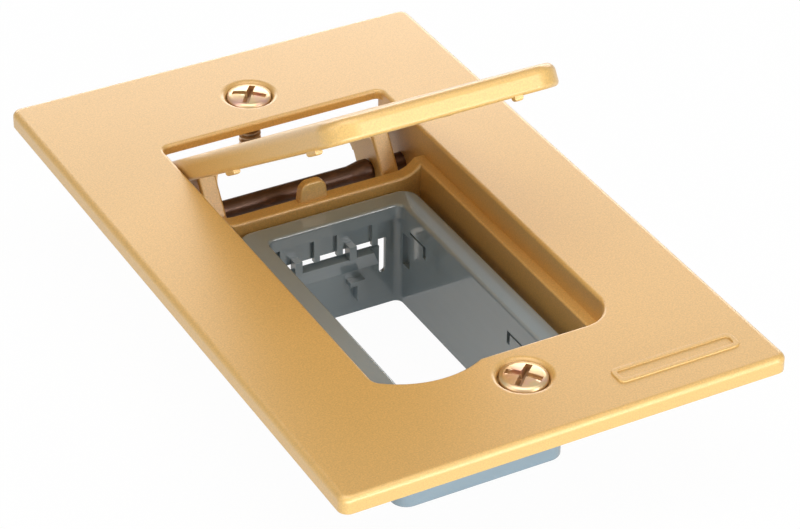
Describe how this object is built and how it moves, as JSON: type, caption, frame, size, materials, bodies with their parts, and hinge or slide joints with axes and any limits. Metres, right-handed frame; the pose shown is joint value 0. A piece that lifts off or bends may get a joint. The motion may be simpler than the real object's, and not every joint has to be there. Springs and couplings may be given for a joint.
{
  "type": "floor outlet plate",
  "caption": "Cast floor outlet cover plate with a hinged flush lid over a recessed plastic frame for snap-in wiring modules, held by screws at both ends.",
  "frame": {"origin": "midway between the two fixing screws, in the plane of the plate's underside", "axes": "+Z out of the floor through the plate's top face; +Y towards the lid's hinge, along the plate's length; +X to the right seen from above with the hinge at the far end"},
  "size_m": [0.0692, 0.11, 0.0579],
  "materials": {
    "gold_painted_casting": "satin gold paint over a die casting",
    "grey_moulding": "glossy grey moulding",
    "brown_pin": "dark brown patinated metal",
    "zinc_screw": "yellow passivated zinc plating"
  },
  "bodies": {
    "plate": {"cover_plate": "gold_painted_casting", "hinge_pin": "brown_pin", "module_frame": "grey_moulding", "screw_front": "zinc_screw", "screw_rear": "zinc_screw"},
    "lid": {"lid": "gold_painted_casting"}
  },
  "joints": [
    {"name": "lid_hinge", "type": "hinge", "parent": "plate", "child": "lid", "pos_m": [0, 0.02675, -0.0067], "axis": [-1, 0, 0], "range_deg": [-34, 36]}
  ]
}
